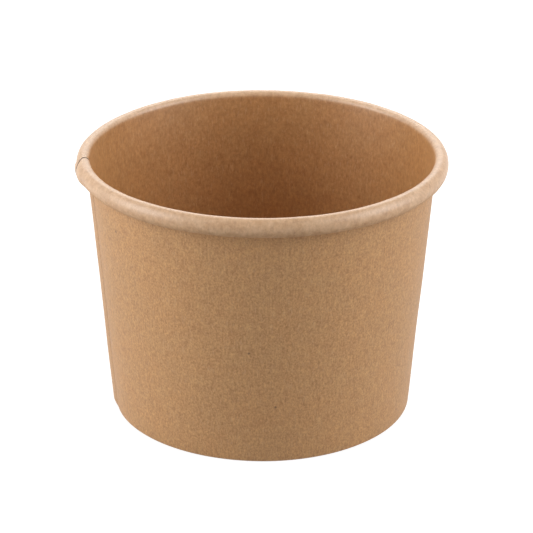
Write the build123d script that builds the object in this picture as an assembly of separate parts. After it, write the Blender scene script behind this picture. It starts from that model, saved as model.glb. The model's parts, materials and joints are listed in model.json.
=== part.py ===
from build123d import *
from math import acos, cos, degrees, radians, sin, tan
import os

# A round paper tub of two pieces of board. The side wall is one fan-shaped sheet wrapped to a cone:
# its ends overlap in a glued side seam, its top edge is rolled outwards into the rim, and its bottom
# edge is turned in and up as a hem. The base is a disc with a skirt drawn down, and the hem traps
# that skirt. Z is the tub's axis, the tub rests on Z = 0, and azimuths run counter-clockwise from +X.

# ---- driving dimensions, in mm and degrees ----
rim_radius = 45.0          # outside of the rolled rim, which takes a 90 mm lid
height = 65.6              # rest plane to the top of the rim
taper = 4.85               # the wall's lean from upright
wall_board = 0.45          # thickness of the side wall's sheet
base_board = 0.40          # thickness of the base's disc

rim_width = 3.33           # inner face of the wall to the rim's outside, square to the wall
rim_top_radius = 1.35      # the rim's shown face over the top
rim_side_radius = 2.55     # down the side
rim_under_radius = 1.20    # round the underside
rim_tuck = 0.80            # length of the edge tucked up against the wall
rim_tuck_gap = 0.05        # between the tucked edge and the wall

seam_azimuth = 186.5       # free edge of the layer that lies inside
seam_overlap = 5.5         # width of the glued double layer, round the rim
seam_joggle = 3.0          # length in which a layer steps over the other one

recess = 6.0               # rest plane to the underside of the base's disc
base_bend = 0.90           # the base's top edge, outside
glue_gap = 0.05            # between the base's skirt and the board each side of it
skirt_clearance = 0.15     # under the skirt's lower edge, at the seam's double fold
hem_height = 5.2           # rest plane to the top of the hem
foot_corner = 0.10         # inside corners of the fold under the skirt

# ---- derived sizes ----
upward = Vector(sin(radians(taper)), cos(radians(taper)))      # up along the wall, as (radius, z)
outward = Vector(cos(radians(taper)), -sin(radians(taper)))    # square to it, away from the axis
slot = base_board + 2 * glue_gap                               # room for the skirt in the fold


def degrees_round_rim(length):
    """Azimuth taken by a length measured round the outside of the rim."""
    return degrees(length / rim_radius)


def strip(start, heading, moves, thickness):
    """Section of bent board in the (radius, z) plane, with square-cut ends.

    The near face starts at start, runs along heading and follows the moves. A move is
    ("run", length) or ("bend", near face's radius, degrees), with left bends positive. The far
    face lies to the right, one thickness away.
    """
    near, far = [], []
    point = start
    for kind, size, *bend in moves:
        ahead = Vector(1, 0).rotate(Axis.Z, heading)
        left = ahead.rotate(Axis.Z, 90)
        if kind == "run":
            near.append(Line(point, point + ahead * size))
            far.append(Line(point - left * thickness, point - left * thickness + ahead * size))
        else:
            turn = bend[0]
            side = 1 if turn > 0 else -1
            centre = point + left * size * side
            first_angle = heading - 90 * side
            near.append(CenterArc(centre, size, first_angle, turn))
            far.append(CenterArc(centre, size + thickness * side, first_angle, turn))
            heading += turn
        point = near[-1] @ 1
    ends = [Line(near[0] @ 0, far[0] @ 0), Line(near[-1] @ 1, far[-1] @ 1)]
    return make_face(near + far + ends)


def rim_turns(top_radius, side_radius, under_radius, width, tuck_offset):
    """Degrees turned over the top, down the side and round the underside of the rim.

    width and tuck_offset run square to the wall, from the near face where the roll starts: width
    to the rim's outside, and tuck_offset to the near face of the tucked edge.
    """
    top_cosine = (width - top_radius - side_radius) / (side_radius - top_radius)
    under_cosine = (width - side_radius - under_radius - tuck_offset) / (side_radius - under_radius)
    top_turn = degrees(acos(top_cosine))
    under_turn = degrees(acos(under_cosine))
    return top_turn, 360 - top_turn - under_turn, under_turn


def roll_start():
    """Point on the wall's inner face, as (radius, z), where the rim's roll starts."""
    top_turn = radians(rim_turns(rim_top_radius, rim_side_radius, rim_under_radius, rim_width,
                                 wall_board + rim_tuck_gap)[0])
    to_joint = upward * sin(top_turn) - outward * cos(top_turn)
    side_centre = outward * rim_top_radius - to_joint * (rim_side_radius - rim_top_radius)
    radius = rim_radius - rim_side_radius - side_centre.X
    return Vector(radius, height - rim_top_radius - outward.Y * rim_top_radius)


def wall_face_radius(z):
    """Radius of the wall's inner face at a height."""
    start = roll_start()
    return start.X + (z - start.Y) * tan(radians(taper))


def wall_section(thickness=wall_board, doubled=0.0, under=0.0):
    """Section of the side wall from the top of its hem to the rim's tucked edge.

    doubled is the extra board at this azimuth, and under is how much board lies on the near face:
    the near face is the one inside the tub, in the fold, and on the outside of the rim.
    """
    corner = foot_corner + under
    floor_z = wall_board + doubled - under
    start_z = floor_z + corner * (1 - upward.X)
    wall_foot = Vector(wall_face_radius(start_z) + under / upward.Y, start_z)
    floor_run = (slot - 2 * foot_corner) / upward.Y
    hem_foot = wall_foot - Vector(2 * corner * upward.Y + floor_run, -2 * corner * upward.X)
    hem_run = (hem_height - hem_foot.Y) / upward.Y

    roll = roll_start() + outward * under
    radii = [rim_top_radius - under, rim_side_radius - under, rim_under_radius - under]
    width = rim_width + doubled - 2 * under
    turns = rim_turns(*radii, width, wall_board + doubled + rim_tuck_gap)

    moves = [
        ("run", hem_run),
        ("bend", corner, 90 + taper),
        ("run", floor_run),
        ("bend", corner, 90 - taper),
        ("run", (roll - wall_foot).length),
    ]
    moves += [("bend", radius, -turn) for radius, turn in zip(radii, turns)]
    moves.append(("run", rim_tuck))
    return strip(hem_foot + upward * hem_run, -90 - taper, moves, thickness)


def at_azimuth(section, azimuth):
    """A (radius, z) section stood up in the plane through the axis at an azimuth."""
    return Rot(0, 0, azimuth) * (Plane.XZ * section)


def sweep_round(section, first, last):
    """A section revolved about the tub's axis from one azimuth to another."""
    return revolve(at_azimuth(section, first), Axis.Z, last - first)


def make_side_wall():
    """One sheet, wrapped, overlapped at the side seam, rolled at the top and hemmed at the foot."""
    joggle = degrees_round_rim(seam_joggle)
    inner_edge = seam_azimuth
    outer_edge = seam_azimuth + degrees_round_rim(seam_overlap)
    single = wall_section()
    double = wall_section(thickness=2 * wall_board, doubled=wall_board)
    inner_layer = wall_section(doubled=wall_board)
    outer_layer = wall_section(doubled=wall_board, under=wall_board)

    overlap = sweep_round(double, inner_edge, outer_edge)
    step_in = loft([at_azimuth(inner_layer, outer_edge), at_azimuth(single, outer_edge + joggle)],
                   ruled=True)
    step_out = loft([at_azimuth(single, inner_edge - joggle), at_azimuth(outer_layer, inner_edge)],
                    ruled=True)
    rest = sweep_round(single, outer_edge + joggle, inner_edge - joggle + 360)
    return overlap + step_in + step_out + rest


def make_base():
    """A disc whose edge is drawn down into a skirt that lies against the wall."""
    top_z = recess + base_board
    skirt_foot = 2 * wall_board + skirt_clearance
    bend_z = top_z - base_bend
    disc_run = wall_face_radius(bend_z) - (glue_gap + base_bend) / upward.Y
    skirt_run = (bend_z - base_bend * upward.X - skirt_foot) / upward.Y
    moves = [("run", disc_run), ("bend", base_bend, -90 - taper), ("run", skirt_run)]
    section = strip(Vector(0, top_z), 0, moves, base_board)
    return sweep_round(section, 0, 360)


os.makedirs("parts", exist_ok=True)
export_step(make_side_wall(), "parts/side_wall.step")
export_step(make_base(), "parts/base.step")
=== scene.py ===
"""Paper ice cream tub: a wrapped, lapped and rolled side wall of kraft board, and a base with a drawn skirt."""

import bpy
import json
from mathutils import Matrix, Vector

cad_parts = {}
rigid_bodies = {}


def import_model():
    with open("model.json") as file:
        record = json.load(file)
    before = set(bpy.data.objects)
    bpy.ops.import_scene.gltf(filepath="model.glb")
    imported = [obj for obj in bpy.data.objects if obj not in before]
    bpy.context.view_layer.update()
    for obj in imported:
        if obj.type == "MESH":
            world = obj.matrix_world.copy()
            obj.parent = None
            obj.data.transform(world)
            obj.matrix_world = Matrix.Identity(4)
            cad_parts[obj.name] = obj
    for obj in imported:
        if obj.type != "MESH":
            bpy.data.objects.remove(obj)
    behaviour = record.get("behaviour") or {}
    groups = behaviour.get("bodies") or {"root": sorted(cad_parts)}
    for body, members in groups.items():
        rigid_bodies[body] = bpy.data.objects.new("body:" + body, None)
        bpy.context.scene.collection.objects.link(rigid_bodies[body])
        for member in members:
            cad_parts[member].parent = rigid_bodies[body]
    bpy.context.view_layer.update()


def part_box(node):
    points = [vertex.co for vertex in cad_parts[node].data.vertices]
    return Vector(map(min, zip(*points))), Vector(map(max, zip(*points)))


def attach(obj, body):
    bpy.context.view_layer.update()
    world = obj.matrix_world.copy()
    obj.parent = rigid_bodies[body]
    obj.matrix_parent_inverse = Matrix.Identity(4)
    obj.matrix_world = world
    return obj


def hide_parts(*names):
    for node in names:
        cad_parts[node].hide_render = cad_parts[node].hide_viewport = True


bl_info = {
    "name": "Paper Tub",
    "version": (1, 0, 0),
    "blender": (4, 5, 0),
    "location": "3D View > Sidebar > Tub",
    "description": "Builds a plain kraft paper tub with a rolled rim, and a studio to show it in",
    "category": "Add Mesh",
}

import json
from math import acos, atan2, cos, pi, radians, sin, tan

import bmesh
import bpy
from bpy.props import FloatProperty, FloatVectorProperty, PointerProperty
from mathutils import Vector

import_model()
WALL_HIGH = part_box("side_wall")[1]
BASE_LOW, BASE_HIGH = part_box("base")

MM = 0.001

# The shader's lengths are in millimetres.
ROUND = 40.0        # radius at which lengths round the tub are true
HALF_TURN = pi * ROUND
REACH_UP = 100.0    # tallest and widest places that a ramp can tell apart
REACH_OUT = 50.0
SEAM_SHADE_WIDTH = 0.50    # width of the painted shade line beside the seam's free edge
EDGE_SKEW = 2.8     # how far that line runs back over the rim

DEEP = (0.65, 0.54, 0.43)       # darkest board, as a share of its colour
WARMTH = (1.01, 0.98, 0.95)     # tint of the warmer clouds

# Steps in the side wall's sheet: round the single board, across the lap, and over each joggle.
ROUND_STEPS = 300
LAP_STEPS = 6
JOGGLE_CUTS = 4
BASE_STEPS = 240

SOFTBOX_SIZES = {"left": (0.55, 0.70), "right": (0.55, 0.70), "back": (1.0, 0.45)}
SOFTBOX_PLACES = {"left": (-0.78, -0.17, 0.37), "right": (0.78, -0.17, 0.44), "back": (0.0, 0.68, 0.66)}
FLOOR_DROP = 0.06 * MM      # the foot's slight waves reach this far down
FLOOR_WIDTH = 6.0


# ---- sizes and colours that a user would change ----

def length(name, description, default):
    """A size in metres."""
    return FloatProperty(name=name, description=description, default=default, unit="LENGTH", subtype="DISTANCE")


def angle(name, description, default):
    """An angle, given here in degrees."""
    return FloatProperty(name=name, description=description, default=radians(default), unit="ROTATION",
                         subtype="ANGLE")


def colour(name, description, default):
    """A linear colour."""
    return FloatVectorProperty(name=name, description=description, default=default, size=3, min=0, max=1,
                               subtype="COLOR")


class TubSizes(bpy.types.PropertyGroup):
    """Real sizes of the tub's two sheets of board."""

    rim_radius: length("Rim radius", "Axis to the outside of the rolled rim", WALL_HIGH.x)
    height: length("Height", "Table to the top of the rim", WALL_HIGH.z)
    taper: angle("Taper", "The wall's lean from upright", 4.85)
    wall_board: length("Wall board", "Thickness of the side wall's sheet", 0.45 * MM)
    base_board: length("Base board", "Thickness of the base's disc", 0.40 * MM)
    rim_width: length("Rim width", "Inner face of the wall to the rim's outside", 3.33 * MM)
    rim_top: length("Rim top radius", "The rim's shown face over the top", 1.35 * MM)
    rim_side: length("Rim side radius", "The rim's shown face down the side", 2.55 * MM)
    rim_under: length("Rim under radius", "The rim's shown face round the underside", 1.20 * MM)
    rim_tuck: length("Rim tuck", "Length of the edge tucked up against the wall", 0.80 * MM)
    tuck_gap: length("Tuck gap", "Between the tucked edge and the wall", 0.05 * MM)
    seam: angle("Seam", "Azimuth of the inner layer's free edge", 186.5)
    overlap: length("Overlap", "Width of the double layer at the seam, round the rim", 5.5 * MM)
    joggle: length("Joggle", "Length in which a layer steps over the other one", 5.0 * MM)
    glue: length("Glue", "Thickness of the glue line in the seam", 0.02 * MM)
    hem_height: length("Hem height", "Table to the top of the hem", 5.2 * MM)
    fold_corner: length("Fold corner", "Inside corners of the fold under the skirt", 0.10 * MM)
    skirt_gap: length("Skirt gap", "Between the base's skirt and the board each side", 0.05 * MM)
    base_bend: length("Base bend", "Outside radius of the base's top edge", 0.90 * MM)
    lap_press: FloatProperty(name="Lap press", description="Share of the outer layer's thickness pressed out "
                             "at its free edge", default=0.93, min=0, max=0.95)
    rim_dent: length("Rim dent", "How far the rim is pressed in behind the seam", 0.45 * MM)
    dent_place: angle("Dent place", "Azimuth of the dent's middle", 141)
    dent_spread: length("Dent spread", "How far round the dent fades away", 26 * MM)


class TubColours(bpy.types.PropertyGroup):
    """Colours of the kraft board, and of the sheen and shade painted on its rim."""

    outside: colour("Outside", "Uncoated face", (0.503, 0.267, 0.106))
    coated: colour("Coated", "Coated face, inside and on the rim", (0.450, 0.223, 0.078))
    fibre: colour("Fibre", "Pale fibres in the surface", (0.62, 0.38, 0.20))
    speck: colour("Speck", "Bark specks", (0.10, 0.045, 0.02))
    edge: colour("Cut edge", "Cut edge of the board", (0.44, 0.235, 0.105))
    # rolled: painted sheen, the pale gloss of the coating over the rolled rim painted into its colour
    rolled: colour("Rolled", "Coating whitened by the roll of the rim", (0.89, 0.66, 0.46))
    # painted shade: the shadow in the step at the seam's free edge, painted as a dark line
    seam_shade_paint: colour("Edge line", "Darkened edge of the coated face at the seam", (0.03, 0.012, 0.006))


class TubStudio(bpy.types.PropertyGroup):
    """Camera and lamps."""

    camera_distance: length("Camera distance", "Camera to the middle of the tub", 0.6243)
    camera_height: angle("Camera elevation", "Camera's angle above level", 23.757)
    camera_roll: angle("Camera roll", "Camera's turn about its own line of sight", 0.157)
    focal_length: FloatProperty(name="Focal length", description="Lens, in millimetres on a 36 mm sensor",
                                default=170.65, unit="CAMERA")
    shift_right: FloatProperty(name="Shift right", description="Lens shift, as a share of the picture's width",
                               default=0.0084)
    shift_up: FloatProperty(name="Shift up", description="Lens shift, as a share of the picture's width",
                            default=0.0149)
    left_lamp: FloatProperty(name="Left lamp", description="Power of the left softbox", default=6.2, unit="POWER")
    right_lamp: FloatProperty(name="Right lamp", description="Power of the right softbox", default=5.65,
                              unit="POWER")
    back_lamp: FloatProperty(name="Back lamp", description="Power of the softbox behind", default=3.9,
                             unit="POWER")
    sky: FloatProperty(name="Sky", description="Brightness of the room", default=0.27, min=0)


# ---- shader maths ----

class Wire:
    """A shader socket that takes part in Python sums."""

    def __init__(self, shader, socket):
        self.shader = shader
        self.socket = socket

    def sum_with(self, operation, first, second):
        """The result of a Math node."""
        node = self.shader.node("ShaderNodeMath", {"operation": operation}, {0: first, 1: second})
        return Wire(self.shader, node.outputs[0])

    def __add__(self, other):
        return self.sum_with("ADD", self, other)

    def __radd__(self, other):
        return self.sum_with("ADD", other, self)

    def __sub__(self, other):
        return self.sum_with("SUBTRACT", self, other)

    def __rsub__(self, other):
        return self.sum_with("SUBTRACT", other, self)

    def __mul__(self, other):
        return self.sum_with("MULTIPLY", self, other)

    def __rmul__(self, other):
        return self.sum_with("MULTIPLY", other, self)

    def __gt__(self, other):
        return self.sum_with("GREATER_THAN", self, other)

    def __lt__(self, other):
        return self.sum_with("LESS_THAN", self, other)


class Shader:
    """A material's or the world's node tree."""

    def __init__(self, owner):
        owner.use_nodes = True
        self.tree = owner.node_tree
        self.tree.nodes.clear()

    def node(self, kind, settings=None, inputs=None):
        """A node with its settings made first, then the values or links of its sockets."""
        made = self.tree.nodes.new(kind)
        for name, value in (settings or {}).items():
            if name == "stops":
                ramp = made.color_ramp
                for element, (place, level) in zip(ramp.elements, value):
                    element.position = place
                    element.color = (level, level, level, 1)
            else:
                setattr(made, name, value)
        for name, value in (inputs or {}).items():
            if isinstance(value, Wire):
                self.tree.links.new(value.socket, made.inputs[name])
            else:
                made.inputs[name].default_value = value
        return made

    def wire(self, kind, settings, inputs, output=0):
        """One output of a new node, ready for sums."""
        return Wire(self, self.node(kind, settings, inputs).outputs[output])

    def noise(self, place, scale, detail=2.0, roughness=0.5):
        """Clouds about 0.5, with scale as their number to a millimetre."""
        inputs = {"Vector": place, "Scale": scale, "Detail": detail, "Roughness": roughness}
        return self.wire("ShaderNodeTexNoise", {}, inputs, "Fac")

    def ramp(self, value, low, high):
        """0 below low, 1 above high, and straight between."""
        return self.wire("ShaderNodeValToRGB", {"stops": ((low, 0.0), (high, 1.0))}, {"Fac": value})

    def past(self, size, low, high, reach):
        """0 where a length is below low, 1 where it is above high, for lengths up to reach."""
        return self.ramp(size * (1 / reach), low / reach, high / reach)

    def mix(self, share, first, second):
        """A colour from first to second as share goes from 0 to 1."""
        settings = {"data_type": "RGBA", "clamp_factor": True}
        node = self.node("ShaderNodeMix", settings, {"Factor": share})
        for socket, value in ((node.inputs[6], first), (node.inputs[7], second)):
            if isinstance(value, Wire):
                self.tree.links.new(value.socket, socket)
            else:
                socket.default_value = (*value, 1)
        return Wire(self, node.outputs[2])

    def tint(self, paint, level):
        """A colour made lighter or darker by a level near 1."""
        grey = self.wire("ShaderNodeCombineXYZ", {}, {"X": level, "Y": level, "Z": level})
        return self.wire("ShaderNodeVectorMath", {"operation": "MULTIPLY"}, {0: paint, 1: grey})

    def point(self, x, y, z):
        """A vector of three parts."""
        return self.wire("ShaderNodeCombineXYZ", {}, {"X": x, "Y": y, "Z": z})

    def apart(self, vector):
        """The three parts of a vector."""
        split = self.node("ShaderNodeSeparateXYZ", {}, {"Vector": vector})
        return [Wire(self, output) for output in split.outputs]

    def round_tub(self, seam):
        """Place on the tub in millimetres: round it from the seam, out from its axis, and up."""
        place = self.wire("ShaderNodeTexCoord", {}, {}, "Object")
        x, y, z = self.apart(self.wire("ShaderNodeMapping", {}, {"Vector": place, "Rotation": (0, 0, pi - seam)}))
        radius = self.wire("ShaderNodeVectorMath", {"operation": "LENGTH"}, {0: self.point(x, y, 0.0)}, "Value")
        return x.sum_with("ARCTAN2", y, x) * ROUND, radius * 1000, z * 1000


def board_material(name, base, paints, look, seam, coated=False):
    """Kraft board: cloudy sheet, fine upright grain, stray pale fibres and sparse bark specks.

    A coated face is painted paler where it's rolled over the rim, as a painted sheen that is lighter at the top
    with a painted highlight along its crest; it has a thin line of painted shade beside the seam's free edge, and
    wrinkles behind it with painted shade and highlight along them.
    """
    material = bpy.data.materials.new(name)
    shader = Shader(material)
    around, out, up = shader.round_tub(seam)
    place = shader.point(around, out, up)
    upright = shader.point(around, out, up * 0.75)
    long_grain = shader.point(around, out, up * 0.22)

    clouds = shader.noise(place, 0.11, 3.0, 0.6)
    mottle = shader.noise(place, 0.50, 3.0, 0.6)
    fine = shader.noise(upright, look["fineness"], 3.0, 0.75)
    streaks = shader.noise(long_grain, 2.0, 2.0, 0.6)
    level = (0.5 + (clouds - 0.5) * 0.12 + (mottle - 0.5) * look["mottle"]
             + (fine - 0.5) * look["grain"] + (streaks - 0.5) * look["streaks"])
    deep = tuple(part * share for part, share in zip(base, DEEP))
    pale = tuple(part * (2 - share) for part, share in zip(base, DEEP))
    sheet = shader.mix(level, deep, pale)
    warm = shader.wire("ShaderNodeVectorMath", {"operation": "MULTIPLY"}, {0: sheet, 1: WARMTH})
    sheet = shader.mix(shader.ramp(clouds, 0.40, 0.60), sheet, warm)
    stray = shader.ramp(shader.noise(long_grain, 3.0, 1.0, 0.4), 0.62, 0.70)
    sheet = shader.mix(stray * 0.35, sheet, paints.fibre)

    cells = shader.node("ShaderNodeTexVoronoi", {"feature": "F1"}, {"Vector": place, "Scale": 0.16})
    chance, _, _ = shader.apart(Wire(shader, cells.outputs["Color"]))
    near = shader.wire("ShaderNodeMapRange", {}, {
        "Value": Wire(shader, cells.outputs["Distance"]), "From Min": 0.03, "From Max": 0.06,
        "To Min": 1.0, "To Max": 0.0})
    sheet = shader.mix(near * (chance > 0.66) * 0.75, sheet, paints.speck)

    relief = fine * 0.7 + streaks * 0.3
    if coated:
        high = shader.past(up, 64.0, 65.2, REACH_UP)
        outside = shader.past(out, 42.6, 43.1, REACH_OUT)
        # painted highlight along the rim's crest
        crest_highlight = high * (1.0 - shader.past(out, 42.6, 43.8, REACH_OUT))
        on_rim = high.sum_with("MAXIMUM", high, outside)
        # painted sheen over the rolled rim: lighter at the top, brightest at the crest, in patches
        rolled = on_rim * (0.28 + high * 0.04 + crest_highlight * 0.10 + (mottle - 0.5) * 0.5 + (fine - 0.5) * 0.3)
        sheet = shader.mix(rolled, sheet, paints.rolled)
        wander = shader.noise(shader.point(around, out * 0.3, up * 0.3), 0.9, 2.0, 0.5)
        folds = around.sum_with("SINE", around * 8.0 + wander * 9.0, 0.0)
        behind = shader.ramp(around * (1 / HALF_TURN), 0.972, 0.984) * on_rim
        relief = relief + folds * behind * 0.8
        # painted shade and highlight along the wrinkles, lighter and darker with their bumps
        sheet = shader.tint(sheet, 1.0 + (folds - 0.3) * behind * 0.17)
        # a thin line of painted shade beside the seam's free edge, where the step's shadow falls, running back
        # over the rim's outer side
        edge = around + HALF_TURN - shader.past(out, 43.5, 45.45, REACH_OUT) * EDGE_SKEW
        line = (edge > 0.0) * (edge < SEAM_SHADE_WIDTH) * on_rim
        sheet = shader.mix(line, sheet, paints.seam_shade_paint)

    rough = look["roughness"] + (mottle - 0.5) * 0.25 + (fine - 0.5) * 0.15
    film = look["coat"]
    if coated:
        beneath = (1.0 - shader.past(up, 61.8, 63.4, REACH_UP)) * outside
        rough = rough + beneath * 0.4 + line * 0.5
        film = film * (1.0 - beneath) * (1.0 - line)
    bumped = shader.wire("ShaderNodeBump", {}, {"Strength": look["bump"], "Distance": 0.00008, "Height": relief})
    surface = shader.node("ShaderNodeBsdfPrincipled", {}, {
        "Base Color": sheet, "Roughness": rough, "Normal": bumped,
        "Specular IOR Level": look["gloss"], "Sheen Weight": look["sheen"], "Sheen Roughness": 0.5,
        "Coat Weight": film, "Coat Roughness": 0.42})
    shader.node("ShaderNodeOutputMaterial", {}, {"Surface": Wire(shader, surface.outputs[0])})
    return material


COATED_LOOK = {"fineness": 1.3, "mottle": 0.45, "grain": 1.30, "streaks": 0.40, "bump": 0.20, "roughness": 0.50,
               "gloss": 0.5, "sheen": 0.0, "coat": 0.8}
RAW_LOOK = {"fineness": 2.35, "mottle": 0.35, "grain": 2.0, "streaks": 0.60, "bump": 0.22, "roughness": 0.62,
            "gloss": 0.6, "sheen": 0.15, "coat": 0.0}
CUT_LOOK = {**RAW_LOOK, "roughness": 0.80, "gloss": 0.3}


def board_materials(sizes, colours):
    """Coated face, uncoated face and cut edge, in the order that a wall's thickness uses them."""
    return [
        board_material("coated_board", colours.coated, colours, COATED_LOOK, sizes.seam, coated=True),
        board_material("raw_board", colours.outside, colours, RAW_LOOK, sizes.seam),
        board_material("cut_edge", colours.edge, colours, CUT_LOOK, sizes.seam),
    ]


# ---- drawing board in edit mode ----

class Pen:
    """Draws the near face of a board's section by hand, as a chain of edges.

    The section lies in the plane of the radius, X, and the height, Z. Headings are in radians from
    +X towards +Z, and a bend to the left is positive.
    """

    def __init__(self, start, heading):
        bpy.ops.mesh.select_all(action="DESELECT")
        bpy.ops.mesh.primitive_plane_add(size=MM)
        bpy.ops.mesh.merge(type="CENTER")
        bpy.ops.transform.translate(value=start)
        self.point = Vector(start)
        self.heading = heading

    def run(self, size, parts):
        """A straight line ahead."""
        step = Vector((cos(self.heading), 0, sin(self.heading))) * (size / parts)
        for _ in range(parts):
            bpy.ops.mesh.extrude_region_move(TRANSFORM_OT_translate={"value": step})
        self.point += step * parts

    def bend(self, radius, turn, parts):
        """An arc of this radius through an angle."""
        side = 1 if turn > 0 else -1
        arm = Vector((-sin(self.heading), 0, cos(self.heading))) * radius * side
        centre = self.point + arm
        bpy.ops.mesh.spin(steps=parts, angle=turn, center=centre, axis=(0, 1, 0))
        self.heading += turn
        end_arm = Vector((-sin(self.heading), 0, cos(self.heading))) * radius * side
        self.point = centre - end_arm

    def turn_to(self, azimuth):
        """Selects the whole chain, stands it at an azimuth and returns its vertices."""
        bpy.ops.mesh.select_linked()
        bpy.ops.transform.rotate(value=-azimuth, orient_axis="Z", center_override=(0, 0, 0))
        return selected_vertices()


def selected_vertices():
    """Indices of the selected vertices of the mesh in edit mode."""
    mesh = bmesh.from_edit_mesh(bpy.context.object.data)
    return [vertex.index for vertex in mesh.verts if vertex.select]


def select_vertices(indices):
    """Selects these vertices and the edges and faces between them."""
    bpy.ops.mesh.select_all(action="DESELECT")
    mesh = bmesh.from_edit_mesh(bpy.context.object.data)
    mesh.verts.ensure_lookup_table()
    for index in indices:
        mesh.verts[index].select = True
    mesh.select_flush(True)
    bmesh.update_edit_mesh(bpy.context.object.data)


def spin_round(sweep, steps):
    """Spins the selected chain about the tub's axis, anticlockwise from above, and returns its last place."""
    bpy.ops.mesh.spin(steps=steps, angle=sweep, center=(0, 0, 0), axis=(0, 0, -1))
    return selected_vertices()


def bridge(first, second, cuts):
    """Joins two chains with a smooth band of faces."""
    select_vertices(first + second)
    bpy.ops.mesh.bridge_edge_loops(type="SINGLE", number_cuts=cuts, interpolation="SURFACE", smoothness=1.0)


def begin_piece(name, materials):
    """A new empty mesh object at the origin, in edit mode."""
    bpy.ops.object.select_all(action="DESELECT")
    bpy.ops.mesh.primitive_plane_add(size=MM)
    piece = bpy.context.object
    piece.name = name
    piece.data.name = name
    for material in materials:
        piece.data.materials.append(material)
    bpy.ops.object.mode_set(mode="EDIT")
    bpy.ops.mesh.select_mode(type="VERT")
    bpy.ops.mesh.delete(type="VERT")
    return piece


def give_thickness(piece, thickness):
    """Turns the near face into board: the near face keeps its place."""
    thicken = piece.modifiers.new("Board", "SOLIDIFY")
    thicken.thickness = thickness
    thicken.offset = -1
    thicken.use_even_offset = True
    thicken.use_quality_normals = True
    thicken.material_offset = 1
    thicken.material_offset_rim = 2
    if "pressed" in piece.vertex_groups:
        thicken.vertex_group = "pressed"
        thicken.invert_vertex_group = True
    bpy.ops.object.modifier_apply(modifier=thicken.name)


def face_near_side(piece, is_near):
    """Turns all faces so that the first one that is_near picks points away from the board."""
    bpy.ops.mesh.select_all(action="SELECT")
    bpy.ops.mesh.normals_make_consistent(inside=False)
    mesh = bmesh.from_edit_mesh(piece.data)
    if not is_near(mesh):
        bpy.ops.mesh.flip_normals()


def finish_piece(piece, node):
    """Smooth shading with crisp cut edges, and the piece's place in the frame."""
    bpy.ops.object.select_all(action="DESELECT")
    piece.select_set(True)
    bpy.context.view_layer.objects.active = piece
    bpy.ops.object.shade_smooth_by_angle(angle=radians(40))
    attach(piece, "root")
    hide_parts(node)


# ---- the side wall ----

def board_directions(sizes):
    """Unit vectors up along the wall and square to it away from the axis, in the section's plane."""
    up = Vector((sin(sizes.taper), 0, cos(sizes.taper)))
    out = Vector((cos(sizes.taper), 0, -sin(sizes.taper)))
    return up, out


def rim_turns(sizes, doubled, under):
    """Angles turned over the top, down the side and round the underside of the rim."""
    top, side, below = (radius - under for radius in (sizes.rim_top, sizes.rim_side, sizes.rim_under))
    width = sizes.rim_width + doubled - 2 * under
    tuck = sizes.wall_board + doubled + sizes.tuck_gap
    top_turn = acos((width - top - side) / (side - top))
    below_turn = acos((width - side - below - tuck) / (side - below))
    return top_turn, 2 * pi - top_turn - below_turn, below_turn


def roll_start(sizes):
    """Point on the wall's inner face where the rim's roll starts."""
    up, out = board_directions(sizes)
    top_turn = rim_turns(sizes, 0, 0)[0]
    joint = up * sin(top_turn) - out * cos(top_turn)
    side_centre = out * sizes.rim_top - joint * (sizes.rim_side - sizes.rim_top)
    radius = sizes.rim_radius - sizes.rim_side - side_centre.x
    return Vector((radius, 0, sizes.height - sizes.rim_top - out.z * sizes.rim_top))


def wall_face_radius(sizes, z):
    """Radius of the wall's inner face at a height."""
    start = roll_start(sizes)
    return start.x + (z - start.z) * tan(sizes.taper)


def draw_wall_section(sizes, doubled=0.0, under=0.0):
    """Near face of the side wall from the top of its hem, round the fold, up the wall and over the rim.

    doubled is the extra board at this azimuth, and under is how much board lies on the near face.
    """
    up, out = board_directions(sizes)
    corner = sizes.fold_corner + under
    floor_z = sizes.wall_board + doubled - under
    start_z = floor_z + corner * (1 - up.x)
    wall_foot = Vector((wall_face_radius(sizes, start_z) + under / up.z, 0, start_z))
    slot = sizes.base_board + 2 * sizes.skirt_gap
    floor_run = (slot - 2 * sizes.fold_corner) / up.z
    hem_foot = wall_foot - Vector((2 * corner * up.z + floor_run, 0, -2 * corner * up.x))
    hem_run = (sizes.hem_height - hem_foot.z) / up.z
    roll = roll_start(sizes) + out * under
    turns = rim_turns(sizes, doubled, under)

    pen = Pen(hem_foot + up * hem_run, -pi / 2 - sizes.taper)
    pen.run(hem_run, 4)
    pen.bend(corner, pi / 2 + sizes.taper, 5)
    pen.run(floor_run, 1)
    pen.bend(corner, pi / 2 - sizes.taper, 5)
    pen.run((roll - wall_foot).length, 34)
    pen.bend(sizes.rim_top - under, -turns[0], 13)
    pen.bend(sizes.rim_side - under, -turns[1], 15)
    pen.bend(sizes.rim_under - under, -turns[2], 9)
    pen.run(sizes.rim_tuck, 2)
    return pen


def draw_wall_sheet(sizes):
    """The whole sheet's near face: single board round the tub, and its two ends lapped at the seam."""
    lap = sizes.wall_board + sizes.glue
    joggle = sizes.joggle / sizes.rim_radius
    overlap = sizes.overlap / sizes.rim_radius
    inner_edge = sizes.seam
    outer_edge = sizes.seam + overlap
    single_sweep = 2 * pi - overlap - 2 * joggle

    single_start = draw_wall_section(sizes).turn_to(outer_edge + joggle)
    single_end = spin_round(single_sweep, ROUND_STEPS)
    draw_wall_section(sizes, doubled=lap).turn_to(inner_edge)
    inner_end = spin_round(overlap, LAP_STEPS)
    bridge(inner_end, single_start, JOGGLE_CUTS)
    outer_start = draw_wall_section(sizes, doubled=lap, under=lap).turn_to(inner_edge)
    spin_round(overlap, LAP_STEPS)
    bpy.ops.mesh.select_linked()
    bpy.ops.object.vertex_group_assign_new()
    bpy.context.object.vertex_groups.active.name = "pressed"
    bridge(single_end, outer_start, JOGGLE_CUTS)


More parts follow.
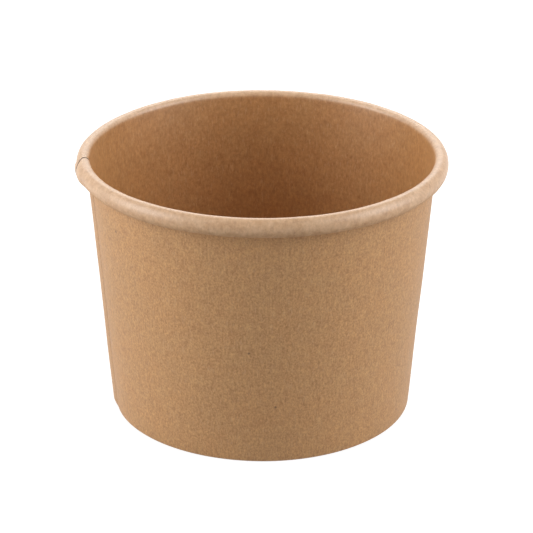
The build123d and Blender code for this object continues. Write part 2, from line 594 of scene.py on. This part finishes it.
def press_lap(piece, sizes):
    """Thins the outer layer of the seam towards its free edge, where the seam is pressed flat."""
    pressed = piece.vertex_groups["pressed"]
    overlap = sizes.overlap / sizes.rim_radius
    for vertex in piece.data.vertices:
        if any(group.group == pressed.index for group in vertex.groups):
            azimuth = atan2(vertex.co.y, vertex.co.x) % (2 * pi)
            share = min(1, max(0, (azimuth - sizes.seam) / overlap))
            pressed.add([vertex.index], sizes.lap_press * share, "REPLACE")


def press_rim_in(sizes):
    """The rim isn't quite round: behind the seam it is pressed in a little."""
    outward = Vector((cos(sizes.dent_place), sin(sizes.dent_place), 0))
    bpy.ops.mesh.select_all(action="DESELECT")
    mesh = bmesh.from_edit_mesh(bpy.context.object.data)
    middle = outward * sizes.rim_radius
    middle.z = sizes.height
    for vertex in mesh.verts:
        vertex.select = (vertex.co - middle).length < 4 * MM
    mesh.select_flush(True)
    bmesh.update_edit_mesh(bpy.context.object.data)
    bpy.ops.transform.translate(value=-outward * sizes.rim_dent, use_proportional_edit=True,
                                proportional_edit_falloff="SMOOTH", proportional_size=sizes.dent_spread)


def ripple(piece, name, size, strength, vertex_group=""):
    """Slight unevenness of the sheet, by a cloud pattern."""
    clouds = bpy.data.textures.new(name, "CLOUDS")
    clouds.noise_scale = size
    clouds.noise_depth = 1
    waves = piece.modifiers.new(name, "DISPLACE")
    waves.texture = clouds
    waves.texture_coords = "LOCAL"
    waves.strength = strength
    waves.mid_level = 0.5
    waves.vertex_group = vertex_group
    bpy.ops.object.modifier_apply(modifier=waves.name)


class TUB_OT_side_wall(bpy.types.Operator):
    """Wrap, lap, roll and hem the side wall's sheet"""

    bl_idname = "tub.side_wall"
    bl_label = "Side Wall"
    bl_options = {"REGISTER", "UNDO"}

    def execute(self, context):
        sizes = context.scene.tub_sizes
        piece = begin_piece("rolled_side_wall", board_materials(sizes, context.scene.tub_colours))
        draw_wall_sheet(sizes)

        def near_out(mesh):
            high = max(mesh.faces, key=lambda face: face.calc_center_median().z)
            return high.normal.z > 0

        face_near_side(piece, near_out)
        press_rim_in(sizes)
        bpy.ops.object.mode_set(mode="OBJECT")
        press_lap(piece, sizes)
        ripple(piece, "Sheet waves", 24 * MM, 0.22 * MM)
        ripple(piece, "Rim ripples", 5 * MM, 0.10 * MM, mark_rim(piece, sizes))
        give_thickness(piece, sizes.wall_board)
        finish_piece(piece, "side_wall")
        return {"FINISHED"}


def mark_rim(piece, sizes):
    """A vertex group of the rolled rim."""
    group = piece.vertex_groups.new(name="rim")
    low = sizes.height - 1.3 * (sizes.rim_top + sizes.rim_side)
    for vertex in piece.data.vertices:
        if vertex.co.z > low and vertex.co.xy.length > sizes.rim_radius - sizes.rim_width:
            group.add([vertex.index], 1.0, "REPLACE")
    return group.name


# ---- the base ----

class TUB_OT_base(bpy.types.Operator):
    """Press the base's disc and draw its skirt down"""

    bl_idname = "tub.base"
    bl_label = "Base"
    bl_options = {"REGISTER", "UNDO"}

    def execute(self, context):
        sizes = context.scene.tub_sizes
        up, _ = board_directions(sizes)
        piece = begin_piece("pressed_base", board_materials(sizes, context.scene.tub_colours))
        top_z = BASE_HIGH.z
        bend_z = top_z - sizes.base_bend
        disc_run = wall_face_radius(sizes, bend_z) - (sizes.skirt_gap + sizes.base_bend) / up.z
        skirt_run = (bend_z - sizes.base_bend * up.x - BASE_LOW.z) / up.z
        pen = Pen((0, 0, top_z), 0)
        pen.run(disc_run, 40)
        pen.bend(sizes.base_bend, -pi / 2 - sizes.taper, 8)
        pen.run(skirt_run, 4)
        pen.turn_to(0)
        spin_round(2 * pi, BASE_STEPS)
        bpy.ops.mesh.select_all(action="SELECT")
        bpy.ops.mesh.remove_doubles(threshold=0.001 * MM)

        def top_up(mesh):
            return max(mesh.faces, key=lambda face: face.calc_center_median().z).normal.z > 0

        face_near_side(piece, top_up)
        bpy.ops.object.mode_set(mode="OBJECT")
        ripple(piece, "Disc waves", 14 * MM, 0.12 * MM)
        give_thickness(piece, sizes.base_board)
        finish_piece(piece, "base")
        return {"FINISHED"}


# ---- the studio ----

def seen_clearly(shader):
    """One for a camera ray, a mirrored ray or a ray that came through, zero for the others."""
    path = shader.node("ShaderNodeLightPath")
    seen = path.outputs["Is Camera Ray"], path.outputs["Is Glossy Ray"], path.outputs["Is Transmission Ray"]
    camera, glossy, through = (Wire(shader, output) for output in seen)
    return (camera + glossy + through) > 0.5


def white_to_the_eye(shader, surface, level):
    """Adds a glow that only the camera and clear reflections see."""
    glow = shader.node("ShaderNodeEmission", {}, {"Color": (1, 1, 1, 1), "Strength": level})
    added = shader.node("ShaderNodeAddShader", {}, {0: surface, 1: Wire(shader, glow.outputs[0])})
    mixed = shader.node("ShaderNodeMixShader", {}, {
        0: seen_clearly(shader), 1: surface, 2: Wire(shader, added.outputs[0])})
    return Wire(shader, mixed.outputs[0])


def add_floor():
    """A wide pale floor that stays white to the camera and keeps the tub's soft shadow."""
    bpy.ops.object.select_all(action="DESELECT")
    bpy.ops.mesh.primitive_plane_add(size=FLOOR_WIDTH, location=(0, 0, -FLOOR_DROP))
    floor = bpy.context.object
    floor.name = "floor"
    material = bpy.data.materials.new("pale_floor")
    shader = Shader(material)
    paint = shader.node("ShaderNodeBsdfDiffuse", {}, {"Color": (0.42, 0.42, 0.42, 1)})
    surface = white_to_the_eye(shader, Wire(shader, paint.outputs[0]), 0.80)
    shader.node("ShaderNodeOutputMaterial", {}, {"Surface": surface})
    floor.data.materials.append(material)


def add_sky(level):
    """A pale room, white where the camera or a clear reflection sees it."""
    world = bpy.data.worlds.new("room")
    bpy.context.scene.world = world
    shader = Shader(world)
    room = shader.node("ShaderNodeBackground", {}, {"Color": (1, 1, 1, 1), "Strength": level})
    white = shader.node("ShaderNodeBackground", {}, {"Color": (1, 1, 1, 1), "Strength": 1.0})
    mixed = shader.node("ShaderNodeMixShader", {}, {
        0: seen_clearly(shader), 1: Wire(shader, room.outputs[0]), 2: Wire(shader, white.outputs[0])})
    shader.node("ShaderNodeOutputWorld", {}, {"Surface": Wire(shader, mixed.outputs[0])})


def add_lamp(side, aim, power):
    """The softbox on one side of the tub, facing the point that it is aimed at."""
    place = SOFTBOX_PLACES[side]
    bpy.ops.object.light_add(type="AREA", location=place)
    lamp = bpy.context.object
    lamp.name = side + "_softbox"
    lamp.data.shape = "RECTANGLE"
    lamp.data.size, lamp.data.size_y = SOFTBOX_SIZES[side]
    lamp.data.energy = power
    lamp.rotation_euler = (Vector(aim) - Vector(place)).to_track_quat("-Z", "Y").to_euler()


def add_camera(studio, sizes):
    """A long lens from the front and above, level with the tub's middle line."""
    middle = Vector((0, 0, sizes.height / 2))
    lift = studio.camera_height
    place = middle + Vector((0, -cos(lift), sin(lift))) * studio.camera_distance
    bpy.ops.object.camera_add(location=place)
    camera = bpy.context.object
    camera.name = "camera"
    sight = (middle - place).to_track_quat("-Z", "Y")
    camera.rotation_euler = sight.to_euler()
    camera.rotation_euler.rotate_axis("Z", studio.camera_roll)
    camera.data.sensor_width = 36
    camera.data.lens = studio.focal_length
    camera.data.shift_x = studio.shift_right
    camera.data.shift_y = studio.shift_up
    camera.data.clip_end = 20
    bpy.context.scene.camera = camera


class TUB_OT_stage(bpy.types.Operator):
    """Set out the floor, the room, the lamps and the camera"""

    bl_idname = "tub.stage"
    bl_label = "Stage"
    bl_options = {"REGISTER", "UNDO"}

    def execute(self, context):
        sizes = context.scene.tub_sizes
        studio = context.scene.tub_studio
        aim = (0, 0, sizes.height / 2)
        add_floor()
        add_sky(studio.sky)
        add_lamp("left", aim, studio.left_lamp)
        add_lamp("right", aim, studio.right_lamp)
        add_lamp("back", aim, studio.back_lamp)
        add_camera(studio, sizes)
        context.scene.view_settings.view_transform = "Standard"
        return {"FINISHED"}


class TUB_PT_panel(bpy.types.Panel):
    """Sizes, colours and steps of the paper tub"""

    bl_idname = "TUB_PT_panel"
    bl_label = "Paper Tub"
    bl_space_type = "VIEW_3D"
    bl_region_type = "UI"
    bl_category = "Tub"

    def draw(self, context):
        for group in (context.scene.tub_sizes, context.scene.tub_colours, context.scene.tub_studio):
            box = self.layout.box()
            for name in group.__annotations__:
                box.prop(group, name)
        for step in STEPS:
            self.layout.operator(step.bl_idname)


STEPS = (TUB_OT_side_wall, TUB_OT_base, TUB_OT_stage)
CLASSES = (TubSizes, TubColours, TubStudio, *STEPS, TUB_PT_panel)


def register():
    for kind in CLASSES:
        bpy.utils.register_class(kind)
    bpy.types.Scene.tub_sizes = PointerProperty(type=TubSizes)
    bpy.types.Scene.tub_colours = PointerProperty(type=TubColours)
    bpy.types.Scene.tub_studio = PointerProperty(type=TubStudio)


def unregister():
    del bpy.types.Scene.tub_studio
    del bpy.types.Scene.tub_colours
    del bpy.types.Scene.tub_sizes
    for kind in reversed(CLASSES):
        bpy.utils.unregister_class(kind)


def main():
    register()
    bpy.ops.tub.side_wall()
    bpy.ops.tub.base()
    bpy.ops.tub.stage()


if __name__ == "__main__":
    main()
